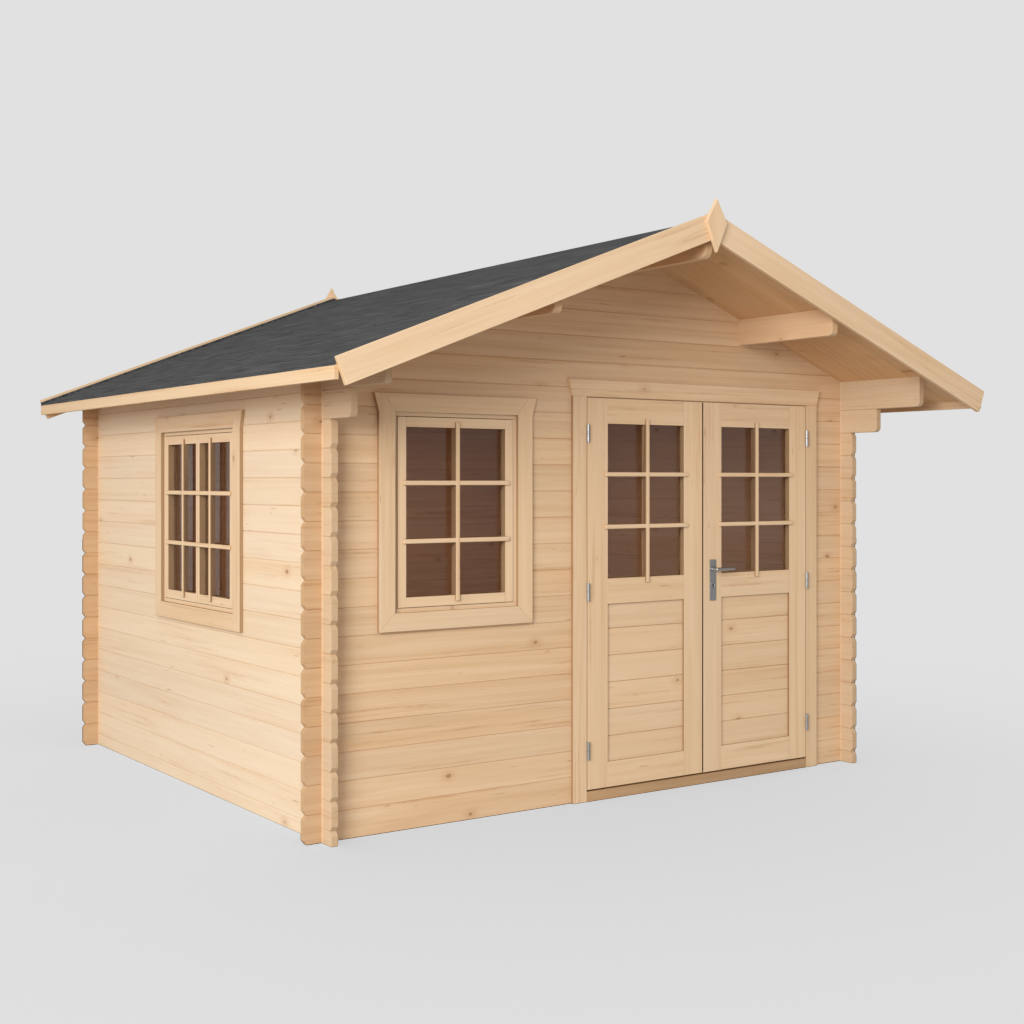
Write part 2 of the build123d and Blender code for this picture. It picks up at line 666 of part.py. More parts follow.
def sash_uprights(stiles, foot):
    """The uprights of a sash, each between two values of x."""
    z0, z1 = foot + SASH_GAP, foot + WINDOW_HEIGHT - SASH_GAP
    pane = sash_pane(stiles[0][1], stiles[1][0], foot)
    return [block(a, b, SASH_FRONT, SASH_BACK, z0, z1) - pane for a, b in stiles]


def sash_crossrails(stiles, foot):
    """The bottom and top rails of a sash, between its stiles."""
    x0, x1 = stiles[0][1], stiles[1][0]
    z0, z1 = foot + SASH_GAP, foot + WINDOW_HEIGHT - SASH_GAP
    low = block(x0, x1, SASH_FRONT, SASH_BACK, z0, z0 + SASH_RAIL)
    high = block(x0, x1, SASH_FRONT, SASH_BACK, z1 - SASH_RAIL, z1)
    pane = sash_pane(x0, x1, foot)
    return [rail - pane for rail in (low, high)]


def sash_panes(stiles, foot):
    """The one sheet of glass of a sash."""
    return [sash_pane(stiles[0][1], stiles[1][0], foot)]


def both_windows(maker):
    """Pieces of both windows made by one maker."""
    front = [on_front_wall(s) for s in maker(FRONT_WINDOW_WIDTH, FRONT_WINDOW_FOOT)]
    side = [on_left_wall(s) for s in maker(SIDE_WINDOW_WIDTH, SIDE_WINDOW_FOOT)]
    return front + side


def all_sashes(maker):
    """Pieces of the front sash and of the side window's pair of sashes."""
    edge = FRONT_WINDOW_WIDTH / 2 - SASH_GAP
    stiles = ((-edge, SASH_STILE - edge), (edge - SASH_STILE, edge))
    pieces = [on_front_wall(s) for s in maker(stiles, FRONT_WINDOW_FOOT)]
    edge = SIDE_WINDOW_WIDTH / 2 - SASH_GAP
    outer = (edge - SASH_STILE, edge)
    meeting = (SASH_GAP / 2, SASH_GAP / 2 + MEETING_STILE)
    right = (meeting, outer)
    left = tuple((-b, -a) for a, b in reversed(right))
    for stiles in (left, right):
        pieces += [on_left_wall(s) for s in maker(stiles, SIDE_WINDOW_FOOT)]
    return pieces


os.makedirs("parts", exist_ok=True)

save("front_wall_left", front_wall(-1))
save("front_wall_right", front_wall(1))
save("front_gable", front_gable())
save("rear_wall", end_wall(WALL_DEPTH - LOG_THICKNESS))
save("left_wall", side_wall(-1))
save("right_wall", side_wall(1))
save("plate_logs", plate_log(-1), plate_log(1))
save("ridge_purlin", ridge_purlin())
save("side_purlins", side_purlin(-1), side_purlin(1))

for word, hand in (("left", -1), ("right", 1)):
    boards_reach = ROOF_HALF_SPAN - FASCIA_THICKNESS
    save(f"roof_boards_{word}", roof_layer(hand, RIDGE_SOFFIT, ROOF_BOARD, boards_reach))
    save(f"roof_felt_{word}", roof_layer(hand, ROOF_TOP, FELT, ROOF_HALF_SPAN))
    front_barge = bargeboard(hand, -FRONT_OVERHANG - BARGE_THICKNESS)
    rear_barge = bargeboard(hand, WALL_DEPTH + REAR_OVERHANG)
    save(f"bargeboards_{word}", front_barge, rear_barge)
    save(f"{word}_leaf_stiles", *leaf_stiles(hand))
    save(f"{word}_leaf_rails", *leaf_rails(hand))
    save(f"{word}_leaf_panel", leaf_panel(hand))
    save(f"{word}_leaf_glass", leaf_pane(hand))
    save(f"{word}_hinge_sockets", *[hinge_socket(hand, z) for z in HINGE_HEIGHTS])

save("eave_fascias", eave_fascia(-1), eave_fascia(1))
save("finials", finial(-FRONT_REACH), finial(REAR_REACH - FINIAL_THICKNESS))
save("floor_bearers", *floor_bearers())
save("floor_boards", floor_boards())
save("door_jambs", door_jamb(-1), door_jamb(1))
save("door_head", door_head())
save("door_threshold", threshold())
save("door_casing_sides", door_casing(-1), door_casing(1))
save("door_casing_head", door_casing_head())
save("hinge_pins", *[hinge_pin(hand, z) for hand in (-1, 1) for z in HINGE_HEIGHTS])
save("lock_plates", *lock_plates())
save("lever_handles", lever_pair())
save("window_casing_sides", *both_windows(window_casing_sides))
save("window_casing_heads", *both_windows(window_casing_ends))
save("window_jambs", *both_windows(window_jambs))
save("window_heads_and_sills", *both_windows(window_heads))
save("sash_stiles", *all_sashes(sash_uprights))
save("sash_rails", *all_sashes(sash_crossrails))
save("window_glass", *all_sashes(sash_panes))
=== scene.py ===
"""Timber log cabin: the finish of every surface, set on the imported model."""
import math
import random
import bpy
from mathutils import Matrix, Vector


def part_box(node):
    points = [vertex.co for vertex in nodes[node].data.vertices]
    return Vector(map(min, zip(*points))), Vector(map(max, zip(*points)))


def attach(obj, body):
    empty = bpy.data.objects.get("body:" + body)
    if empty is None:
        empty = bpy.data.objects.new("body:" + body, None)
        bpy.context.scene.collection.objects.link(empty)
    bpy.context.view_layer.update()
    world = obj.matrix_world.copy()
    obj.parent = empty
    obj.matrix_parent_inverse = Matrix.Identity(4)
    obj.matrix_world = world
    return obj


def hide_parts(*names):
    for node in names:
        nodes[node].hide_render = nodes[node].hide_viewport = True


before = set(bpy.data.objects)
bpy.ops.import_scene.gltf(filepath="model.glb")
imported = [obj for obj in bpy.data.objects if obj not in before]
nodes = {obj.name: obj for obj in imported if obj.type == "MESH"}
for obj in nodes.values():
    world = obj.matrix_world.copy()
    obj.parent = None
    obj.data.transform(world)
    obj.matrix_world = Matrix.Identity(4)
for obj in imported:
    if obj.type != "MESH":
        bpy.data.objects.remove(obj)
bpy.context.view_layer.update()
scene = bpy.context.scene
scene.view_settings.view_transform = "Standard"


# The view: a level camera before the cabin's left corner, as in the product picture.
# The picture is 1024 px square; its optical axis lies a little above its middle.
camera_place = (-4.1705, -6.2272, 1.4387)
camera_turn = 0.6069
focal_pixels = 1453.03
picture_pixels = 1024.0
axis_row = 480.59
lens = bpy.data.cameras.new("camera")
lens.sensor_width = 36.0
lens.lens = focal_pixels / picture_pixels * lens.sensor_width
lens.shift_y = (axis_row - picture_pixels / 2) / picture_pixels
lens.clip_end = 200.0
camera = bpy.data.objects.new("camera", lens)
camera.location = camera_place
camera.rotation_euler = (math.radians(90), 0, -camera_turn)
scene.collection.objects.link(camera)
scene.camera = camera


class Finish:
    """A value in a material; sums, products and powers of two of them add their Math nodes."""

    def __init__(self, tree, socket):
        self.tree = tree
        self.socket = socket

    def node(self, kind, settings=None, out=0, **inputs):
        """Adds a node; settings go first, then the values or links of its sockets."""
        made = self.tree.nodes.new(kind)
        for name, value in (settings or {}).items():
            if name == "stops":
                ramp = made.color_ramp.elements
                while len(ramp) < len(value):
                    ramp.new(0.5)
                for stop, (place, colour) in zip(ramp, value):
                    stop.position = place
                    stop.color = (*colour, 1.0)
            else:
                setattr(made, name, value)
        for name, value in inputs.items():
            key = int(name[1:]) if name[0] == "i" and name[1:].isdigit() else name.replace("_", " ")
            if isinstance(value, Finish):
                self.tree.links.new(value.socket, made.inputs[key])
            else:
                made.inputs[key].default_value = value
        return Finish(self.tree, made.outputs[out])

    def output(self, out):
        """Another output of the node that gives this value."""
        return Finish(self.tree, self.socket.node.outputs[out])

    def maths(self, operation, first, second=0.0):
        return self.node("ShaderNodeMath", {"operation": operation}, i0=first, i1=second)

    def __add__(self, other):
        return self.maths("ADD", self, other)

    def __radd__(self, other):
        return self.maths("ADD", other, self)

    def __sub__(self, other):
        return self.maths("SUBTRACT", self, other)

    def __rsub__(self, other):
        return self.maths("SUBTRACT", other, self)

    def __mul__(self, other):
        return self.maths("MULTIPLY", self, other)

    def __rmul__(self, other):
        return self.maths("MULTIPLY", other, self)

    def __truediv__(self, other):
        return self.maths("DIVIDE", self, other)

    def __pow__(self, other):
        return self.maths("POWER", self, other)

    def floor(self):
        return self.maths("FLOOR", self)

    def fract(self):
        return self.maths("FRACT", self)

    def size(self):
        return self.maths("ABSOLUTE", self)

    def between(self, low, high):
        """0 up to low, 1 from high on, and a soft step between them."""
        settings = {"interpolation_type": "SMOOTHSTEP"}
        return self.node("ShaderNodeMapRange", settings, i0=self, i1=low, i2=high, i3=0.0, i4=1.0)

    def vector(self, x, y, z):
        return self.node("ShaderNodeCombineXYZ", i0=x, i1=y, i2=z)

    def part(self, axis):
        return self.node("ShaderNodeSeparateXYZ", out=axis, i0=self)

    def noise(self, place, scale=1.0, detail=2.0, roughness=0.5):
        settings = {"noise_dimensions": "3D"}
        return self.node("ShaderNodeTexNoise", settings, Vector=place, Scale=scale, Detail=detail,
                         Roughness=roughness)

    def mix(self, amount, first, second, blend="MIX"):
        """A colour between two, or their product; amount is a number or a value."""
        settings = {"data_type": "RGBA", "blend_type": blend}
        colours = [c if isinstance(c, Finish) else (*c, 1.0) for c in (first, second)]
        return self.node("ShaderNodeMix", settings, out=2, i0=amount, i6=colours[0], i7=colours[1])


def new_finish(name):
    """An empty material, the start of its values and its shader node."""
    material = bpy.data.materials.new(name)
    material.use_nodes = True
    tree = material.node_tree
    return material, Finish(tree, None), tree.nodes["Principled BSDF"]


def timber(name, pale, warm, source, log_pitch=0.0, log_start=0.0, knots=1.0, contrast=1.0, rare=0.5,
           spread=1.0, shaded_ends_from=None, painted_edge_shade=0.0):
    """Planed spruce. source says where along, across and depth in the timber come from: a board's
    own 'grain' attribute, or the axis that a wall's logs run along. The narrow edges may be darkened
    with painted shade."""
    material, start, shader = new_finish(name)
    if source == "grain":
        place = start.node("ShaderNodeAttribute", {"attribute_name": "grain"}, out=1)
        ends = start.node("ShaderNodeAttribute", {"attribute_name": "end_grain"}, out=2)
        seed = start.node("ShaderNodeAttribute", {"attribute_name": "board"}, out=2)
        along, across, depth = (place.part(axis) for axis in (0, 1, 2))
    else:
        axis = "XY".index(source)
        place = start.node("ShaderNodeTexCoord", out=3)
        facing = start.node("ShaderNodeTexCoord", out=1)
        along, across, depth = place.part(axis), place.part(2), place.part(1 - axis)
        ends = facing.part(axis).size().between(0.6, 0.9)
        row = ((across - log_start) / log_pitch).floor()
        seed = start.node("ShaderNodeTexWhiteNoise", {"noise_dimensions": "1D"}, i1=row * 1.37 + 0.5)
    tone = start.node("ShaderNodeTexWhiteNoise", {"noise_dimensions": "1D"}, out=0, i1=seed * 91.7)
    warmth = start.node("ShaderNodeTexWhiteNoise", {"noise_dimensions": "1D"}, out=0, i1=seed * 53.3 + 4.0)
    shift = seed * 37.0
    moved = along + shift

    # Growth rings round a heart that lies beside the board and wanders along it
    wander = start.noise(start.vector(moved * 0.45, across * 1.6, shift), detail=2.0) - 0.5
    heart_side = across + (tone - 0.5) * 0.10 + wander * 0.06
    heart_deep = depth + 0.035 + warmth * 0.05 + wander * 0.05
    ring_radius = (heart_side * heart_side + heart_deep * heart_deep) ** 0.5
    ruffle = start.noise(start.vector(moved * 5.0, across * 30.0, depth * 30.0), detail=2.0) - 0.5
    rings = (ring_radius * 165.0 + ruffle * 1.1).fract() ** 3.0
    bands = start.noise(start.vector(moved * 0.5, ring_radius * 60.0, shift), detail=3.0)

    # Streaks and pores drawn out along the grain
    streaks = start.noise(start.vector(moved * 1.3, across * 34.0, depth * 34.0 + shift), detail=4.0,
                          roughness=0.6)
    pores = start.noise(start.vector(moved * 16.0, across * 420.0, depth * 420.0), detail=2.0)

    # Knots, with a dark rim and a stained halo drawn out along the grain
    cell = start.vector(moved * 2.1, across * 3.3 + shift, 0.0)
    settings = {"voronoi_dimensions": "2D"}
    reach = start.node("ShaderNodeTexVoronoi", settings, Vector=cell, Scale=1.0, Randomness=0.9)
    chance = reach.output(1)
    luck = chance.part(0)
    present = luck.between(rare, rare + 0.02)
    knot_size = 0.008 + 0.015 * chance.part(1)
    ragged = start.noise(start.vector(moved * 60.0, across * 90.0, shift), detail=2.0) - 0.5
    near = reach + ragged * 0.012
    knot = (knot_size - near).between(-0.004, 0.006) * present * knots
    rim = (1.0 - ((near - knot_size).size() * 90.0)).between(0.0, 1.0) * present * knots
    halo = (0.13 - reach).between(0.0, 0.13) * present * knots

    # Pin knots and resin streaks, small and long
    pins = start.noise(start.vector(moved * 9.0, across * 70.0, shift + depth * 8.0), detail=1.0)
    where = start.noise(start.vector(moved * 0.9, across * 5.0, shift)).between(0.5, 0.62)
    pins = pins.between(0.70, 0.80) * where

    # The two spruce tones by streak and ring, then each board's own lightness and warmth
    late = (streaks - 0.5) * 1.5 * contrast + 0.5
    colour = start.mix(late.between(0.05, 0.95), pale, warm)
    figure = (bands.between(0.45, 0.75) * 0.35 + rings * 0.16) * contrast
    colour = start.mix(figure, colour, (0.62, 0.36, 0.17))
    lift = 1.0 + (tone - 0.5) * 0.09 * spread
    tint = start.vector(lift, lift * (0.985 + warmth * 0.02), lift * (0.95 + warmth * 0.07))
    colour = start.mix(1.0, colour, tint, "MULTIPLY")

    # Resin streaks, long and wavy, and broad warm patches
    wavy = across + wander * 0.035
    resin = start.noise(start.vector(moved * 1.5, wavy * 62.0, shift), detail=3.0, roughness=0.62)
    patch = start.noise(start.vector(moved * 0.9, across * 7.0, shift + 5.0), detail=2.0)
    resin = resin.between(0.52, 0.70) * patch.between(0.42, 0.60)
    flecks = start.noise(start.vector(moved * 24.0, wavy * 130.0, shift), detail=2.0).between(0.50, 0.68)
    colour = start.mix(patch.between(0.48, 0.72) * 0.30 * contrast, colour, (0.78, 0.47, 0.24))
    colour = start.mix(resin * (0.38 + flecks * 0.34) * contrast, colour, (0.50, 0.25, 0.095))
    colour = start.mix(halo * 0.35, colour, (0.52, 0.25, 0.10))
    colour = start.mix(pins * 0.55, colour, (0.36, 0.16, 0.06))
    colour = start.mix(knot * 0.75, colour, (0.42, 0.20, 0.085))
    colour = start.mix(rim * 0.45, colour, (0.22, 0.09, 0.03))
    colour = start.mix(ends * 0.30, colour, (0.62, 0.37, 0.17))
    # Painted shade: the narrow side faces of a board are darkened as if they lay in the shade of a recess.
    if painted_edge_shade:
        edges = start.node("ShaderNodeAttribute", {"attribute_name": "edge"}, out=2)
        colour = start.mix(edges * painted_edge_shade, colour, (0.25, 0.13, 0.052))
    # The log ends that stand beyond the walls are made darker, as painted shade, and warmer, as their more
    # orange end colour.
    if shaded_ends_from:
        end_shade = (along - shaded_ends_from[0]).size().between(shaded_ends_from[1], shaded_ends_from[1] + 0.006)
        colour = start.mix(end_shade, colour, start.mix(1.0, colour, (0.80, 0.755, 0.70), "MULTIPLY"))
    # Painted shade: a thin darker band along each log joint, as if shade lay in the V groove.
    if log_pitch:
        joint_shade = ((across - log_start) / log_pitch).fract() - 0.5
        joint_shade = (joint_shade.size() * log_pitch - (log_pitch / 2 - 0.004)).between(0.0, 0.004)
        colour = start.mix(joint_shade * 0.14, colour, (0.30, 0.15, 0.06))
    start.tree.links.new(colour.socket, shader.inputs["Base Color"])
    matt = 0.62 + (streaks - 0.5) * 0.2 - knot * 0.15
    start.tree.links.new(matt.socket, shader.inputs["Roughness"])
    relief = rings * 0.35 + pores * 0.5 + streaks * 0.4
    bump = start.node("ShaderNodeBump", Strength=0.35, Distance=0.0006, Height=relief)
    start.tree.links.new(bump.socket, shader.inputs["Normal"])
    shader.inputs["Specular IOR Level"].default_value = 0.32
    return material


def paint(piece, material, body):
    """Gives a piece its one material and the body that it rides on."""
    piece.data.materials.clear()
    piece.data.materials.append(material)
    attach(piece, body)
    return piece


def only(piece):
    """Selects one piece and nothing else."""
    bpy.ops.object.select_all(action="DESELECT")
    piece.hide_viewport = False
    piece.select_set(True)
    bpy.context.view_layer.objects.active = piece


# Walls: planed spruce logs laid up dry, V jointed and lapped at half their height at the corners.
# They stay as the frame gives them; each log has its own tone, grain and knots.
log_pitch = 0.116
log_pale = (0.815, 0.58, 0.37)
log_warm = (0.73, 0.485, 0.285)
end_logs = timber("logs_across", log_pale, log_warm, "X", log_pitch, 0.0, rare=0.62, spread=0.7,
                  shaded_ends_from=(0.0, 1.5))
# The side walls' logs are a paler, less figured copy of the same spruce: painted sheen, standing for light
# that falls on the left wall.
sheen_lit_side_logs = timber("logs_along_painted_sheen", (0.88, 0.70, 0.505), (0.81, 0.61, 0.415), "Y", log_pitch, log_pitch / 2,
                   contrast=0.55, rare=0.68, spread=0.5, shaded_ends_from=(0.2725, 1.332))
for name in ("front_wall_left", "front_wall_right", "front_gable", "rear_wall"):
    nodes[name].data.materials.clear()
    nodes[name].data.materials.append(end_logs)
for name in ("left_wall", "right_wall", "plate_logs"):
    nodes[name].data.materials.clear()
    nodes[name].data.materials.append(sheen_lit_side_logs)

# Boards: sawn and planed pieces copied from the frame, with their arrises eased by a plane.
# Each loose board keeps the way its grain runs, where its end grain shows, and its own number.
board_count = 0


def islands(mesh):
    """The vertex numbers of each loose solid of a mesh."""
    group = list(range(len(mesh.vertices)))

    def root(n):
        while group[n] != n:
            group[n] = group[group[n]]
            n = group[n]
        return n

    for edge in mesh.edges:
        a, b = root(edge.vertices[0]), root(edge.vertices[1])
        if a != b:
            group[a] = b
    found = {}
    for n in range(len(group)):
        found.setdefault(root(n), []).append(n)
    return list(found.values())


def extent(mesh, members):
    """Lowest and highest corner of some vertices."""
    points = [mesh.vertices[n].co for n in members]
    low = [min(p[axis] for p in points) for axis in range(3)]
    high = [max(p[axis] for p in points) for axis in range(3)]
    return low, high


def square_to(a, b):
    """The direction square to two others."""
    return [a[1] * b[2] - a[2] * b[1], a[2] * b[0] - a[0] * b[2], a[0] * b[1] - a[1] * b[0]]


def write_grain(piece, direction, bare_rim=False):
    """Writes how the grain runs in each board of a piece; direction is a vector, or 'level' for
    boards that lie along X or Y, or 'longest'. Edges, which a finish may darken with painted shade,
    are the faces square to the wall, in the left wall or in the front one; bare_rim leaves out those at
    the piece's own rim."""
    global board_count
    mesh = piece.data
    kinds = {"grain": "FLOAT_VECTOR", "end_grain": "FLOAT", "board": "FLOAT", "edge": "FLOAT"}
    for name, kind in kinds.items():
        mesh.attributes.new(name, kind, "CORNER")
    grain, ends, board, edge = (mesh.attributes[name] for name in kinds)
    frames = {}
    left_wall_x = -1.45
    rim = extent(mesh, range(len(mesh.vertices)))
    for members in islands(mesh):
        low, high = extent(mesh, members)
        span = [high[axis] - low[axis] for axis in range(3)]
        if direction == "level":
            along = (1, 0, 0) if span[0] > span[1] else (0, 1, 0)
        elif direction == "longest":
            along = tuple(1 if axis == span.index(max(span)) else 0 for axis in range(3))
        else:
            along = direction
        rest = [axis for axis in range(3) if abs(along[axis]) < 0.5]
        wide = max(rest, key=lambda axis: span[axis])
        across = [0.0, 0.0, 0.0]
        across[wide] = 1.0
        if abs(along[0]) > 0.5 and abs(along[2]) > 0.1:
            across = [-along[2], 0.0, along[0]]
        deep = square_to(along, across)
        middle = [(low[axis] + high[axis]) / 2 for axis in range(3)]
        outward = (1, 0, 0) if middle[0] < left_wall_x else (0, 1, 0)
        side = square_to(along, outward)
        board_count += 1
        number = random.Random(board_count).random()
        for n in members:
            frames[n] = (along, across, deep, middle, number, side)
    for face in mesh.polygons:
        at_rim = bare_rim and any(
            abs(face.normal[axis]) > 0.5 and abs(face.center[axis] - corner[axis]) < 0.002
            for axis in range(3) for corner in rim)
        for corner in face.loop_indices:
            n = mesh.loops[corner].vertex_index
            along, across, deep, middle, number, side = frames[n]
            point = mesh.vertices[n].co
            offset = [point[axis] - middle[axis] for axis in range(3)]
            values = [sum(offset[axis] * way[axis] for axis in range(3)) for way in (along, across, deep)]
            grain.data[corner].vector = values
            ends.data[corner].value = abs(sum(face.normal[axis] * along[axis] for axis in range(3))) ** 4
            # The edge value marks the faces that get painted shade.
            slant = abs(sum(face.normal[axis] * side[axis] for axis in range(3)))
            edge.data[corner].value = 0.0 if at_rim else slant ** 4
            board.data[corner].value = number


def eased(name, node, radius, grain, bare_rim=False):
    """A merged copy of a node with its arrises rounded, which stands for the node."""
    piece = bpy.data.objects.new(name, nodes[node].data.copy())
    scene.collection.objects.link(piece)
    only(piece)
    bpy.ops.object.mode_set(mode="EDIT")
    bpy.ops.mesh.select_all(action="SELECT")
    bpy.ops.mesh.remove_doubles(threshold=0.00002)
    bpy.ops.mesh.dissolve_limited(angle_limit=math.radians(0.5))
    bpy.ops.object.mode_set(mode="OBJECT")
    round_over(piece, radius)
    if grain:
        write_grain(piece, grain, bare_rim)
    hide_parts(node)
    return piece


def round_over(piece, radius, segments=2):
    """Bevels a piece's edges and smooths them."""
    only(piece)
    bevel = piece.modifiers.new("eased_edges", "BEVEL")
    bevel.width = radius
    bevel.segments = segments
    bevel.limit_method = "ANGLE"
    bevel.angle_limit = math.radians(28)
    bpy.ops.object.modifier_apply(modifier=bevel.name)
    bpy.ops.object.shade_smooth_by_angle(angle=math.radians(50))
    flat = piece.modifiers.new("flat_faces", "WEIGHTED_NORMAL")
    flat.keep_sharp = True
    flat.weight = 100
    bpy.ops.object.modifier_apply(modifier=flat.name)


trim_pale = (0.835, 0.615, 0.405)
trim_warm = (0.75, 0.52, 0.315)
trim = timber("trim_boards", trim_pale, trim_warm, "grain", knots=0.8, contrast=0.8, rare=0.65)
# Casings and joinery get painted shade on their narrow edges.
casing = timber("casing_boards", trim_pale, trim_warm, "grain", knots=0.8, contrast=0.8, rare=0.65,
                painted_edge_shade=0.7)
joinery = timber("joinery_boards", (0.855, 0.625, 0.41), (0.775, 0.545, 0.335), "grain", knots=0.35,
                 contrast=0.8, rare=0.7, spread=0.35, painted_edge_shade=0.85)
door_frame = timber("door_frame_boards", (0.84, 0.60, 0.38), (0.75, 0.51, 0.30), "grain", knots=0.35,
                    contrast=0.8, rare=0.7, spread=0.35)
# The threshold timber is coloured darker than the door frame.
darker_threshold = timber("threshold_timber", (0.52, 0.33, 0.18), (0.42, 0.25, 0.125), "grain", knots=0.0)
beams = timber("beam_timber", (0.80, 0.55, 0.34), (0.71, 0.46, 0.26), "grain", knots=0.7, rare=0.6)
pitch = math.radians(21.26)
slope_left = (math.cos(pitch), 0.0, math.sin(pitch))
slope_right = (math.cos(pitch), 0.0, -math.sin(pitch))
for name, node, grain in (
    ("bargeboards_left_planed", "bargeboards_left", slope_left),
    ("bargeboards_right_planed", "bargeboards_right", slope_right),
    ("eave_fascias_planed", "eave_fascias", (0, 1, 0)),
    ("finials_planed", "finials", (0, 0, 1)),
):
    paint(eased(name, node, 0.0018, grain), trim, "root")
for name, node, grain in (
    ("window_casing_sides_planed", "window_casing_sides", (0, 0, 1)),
    ("window_casing_heads_planed", "window_casing_heads", "level"),
    ("door_casing_sides_planed", "door_casing_sides", (0, 0, 1)),
    ("door_casing_head_planed", "door_casing_head", (1, 0, 0)),
):
    paint(eased(name, node, 0.0018, grain), casing, "root")
for name, node in (("ridge_purlin_planed", "ridge_purlin"), ("side_purlins_planed", "side_purlins")):
    paint(eased(name, node, 0.003, (0, 1, 0)), beams, "root")
paint(eased("door_jambs_planed", "door_jambs", 0.0015, (0, 0, 1)), door_frame, "root")
paint(eased("door_head_planed", "door_head", 0.0015, (1, 0, 0)), door_frame, "root")
for name, node, grain, body in (
    ("window_jambs_planed", "window_jambs", (0, 0, 1), "root"),
    ("window_heads_planed", "window_heads_and_sills", "level", "root"),
    ("sash_stiles_planed", "sash_stiles", (0, 0, 1), "root"),
    ("sash_rails_planed", "sash_rails", "level", "root"),
    ("left_stiles_planed", "left_leaf_stiles", (0, 0, 1), "left_door"),
    ("left_rails_planed", "left_leaf_rails", (1, 0, 0), "left_door"),
    ("right_stiles_planed", "right_leaf_stiles", (0, 0, 1), "right_door"),
    ("right_rails_planed", "right_leaf_rails", (1, 0, 0), "right_door"),
):
    bare_rim = body != "root"
    paint(eased(name, node, 0.0015, grain, bare_rim), joinery, body)
threshold = eased("door_threshold_planed", "door_threshold", 0.0015, (1, 0, 0))
paint(threshold, darker_threshold, "root")


# Roof boards: tongued and grooved boards laid down each slope, over the purlins and plate logs.
# Their joints show from below as fine V grooves. Floors and panels are cut up by the same function.
def plain_box(name, low, high):
    """A rectangular piece of timber between two corners, as a start for shaping."""
    bpy.ops.object.select_all(action="DESELECT")
    middle = [(a + b) / 2 for a, b in zip(low, high)]
    bpy.ops.mesh.primitive_cube_add(size=1.0, location=middle)
    piece = bpy.context.object
    piece.name = name
    piece.scale = [b - a for a, b in zip(low, high)]
    bpy.ops.object.transform_apply(location=True, rotation=True, scale=True)
    return piece


def joined(name, pieces):
    """Several meshes made one piece."""
    bpy.ops.object.select_all(action="DESELECT")
    for piece in pieces:
        piece.select_set(True)
    bpy.context.view_layer.objects.active = pieces[0]
    if len(pieces) > 1:
        bpy.ops.object.join()
    pieces[0].name = name
    pieces[0].data.name = name
    return pieces[0]


def row_of_boards(name, node, wanted, axis, gap, ease):
    """Boards cut from a copy of a node's slab, side by side along an axis, with V joints."""
    low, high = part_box(node)
    count = max(1, round((high[axis] - low[axis]) / wanted))
    width = (high[axis] - low[axis]) / count
    cut = []
    for n in range(count):
        piece = bpy.data.objects.new(f"{name}_{n}", nodes[node].data.copy())
        scene.collection.objects.link(piece)
        only(piece)
        bpy.ops.object.mode_set(mode="EDIT")
        bpy.ops.mesh.select_all(action="SELECT")
        bpy.ops.mesh.remove_doubles(threshold=0.00002)
        near, far = low[axis] + n * width + gap, low[axis] + (n + 1) * width - gap
        for place, outer in ((near, False), (far, True)):
            on_plane = [0.0, 0.0, 0.0]
            on_plane[axis] = place
            normal = [0.0, 0.0, 0.0]
            normal[axis] = 1.0
            bpy.ops.mesh.select_all(action="SELECT")
            bpy.ops.mesh.bisect(plane_co=on_plane, plane_no=normal, use_fill=True, clear_inner=not outer,
                                clear_outer=outer)
        bpy.ops.mesh.select_all(action="SELECT")
        bpy.ops.mesh.dissolve_limited(angle_limit=math.radians(0.5))
        bpy.ops.object.mode_set(mode="OBJECT")
        cut.append(piece)
    piece = joined(name, cut)
    round_over(piece, ease, 1)
    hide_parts(node)
    return piece


soffit_boards = timber("soffit_boards", (0.76, 0.49, 0.27), (0.66, 0.39, 0.19), "grain", knots=0.8,
                       rare=0.6, spread=0.6)
roof_board_width = 0.094
for side, grain in (("left", slope_left), ("right", slope_right)):
    boards = row_of_boards(f"roof_boards_{side}_laid", f"roof_boards_{side}", roof_board_width, 1,
                           gap=0.0002, ease=0.0022)
    write_grain(boards, grain)
    paint(boards, soffit_boards, "root")

# Floor: boards nailed across bearers, seen when the doors stand open.
floor_finish = timber("floor_timber", (0.80, 0.56, 0.34), (0.70, 0.46, 0.26), "grain", knots=1.0)
floor_board_width = 0.118
floor = row_of_boards("floor_boards_laid", "floor_boards", floor_board_width, 1, gap=0.0003, ease=0.002)
write_grain(floor, (1, 0, 0))
paint(floor, floor_finish, "root")
bearers = eased("floor_bearers_sawn", "floor_bearers", 0.0015, (0, 1, 0))
paint(bearers, floor_finish, "root")

# Door panels: boards laid across, one above another, in the grooves of stiles and rails.
panel_boards = timber("panel_boards", (0.84, 0.61, 0.40), (0.76, 0.53, 0.325), "grain", knots=0.8,
                      contrast=0.6, rare=0.6, spread=0.5)
panel_board_height = 0.118
for side in ("left", "right"):
    panel = row_of_boards(f"{side}_panel_boards", f"{side}_leaf_panel", panel_board_height, 2,
                          gap=0.0004, ease=0.0035)
    write_grain(panel, (1, 0, 0))
    paint(panel, panel_boards, f"{side}_door")

# Glazing bars: planed bars fixed on the face of the sashes and leaves, over the glass.
# The upright stands a little proud of the cross bars; backs fill the space to the glass, coloured dark
# brown as painted shade.
painted_shade_bar_backs = timber("painted_shade_bar_backs", (0.22, 0.12, 0.065), (0.17, 0.09, 0.045), "grain", knots=0.0, spread=0.3)
bar_width = 0.020
bar_proud = 0.010
bar_overlap = 0.018
upright_overlap = 0.025
glass_clearance = 0.0005


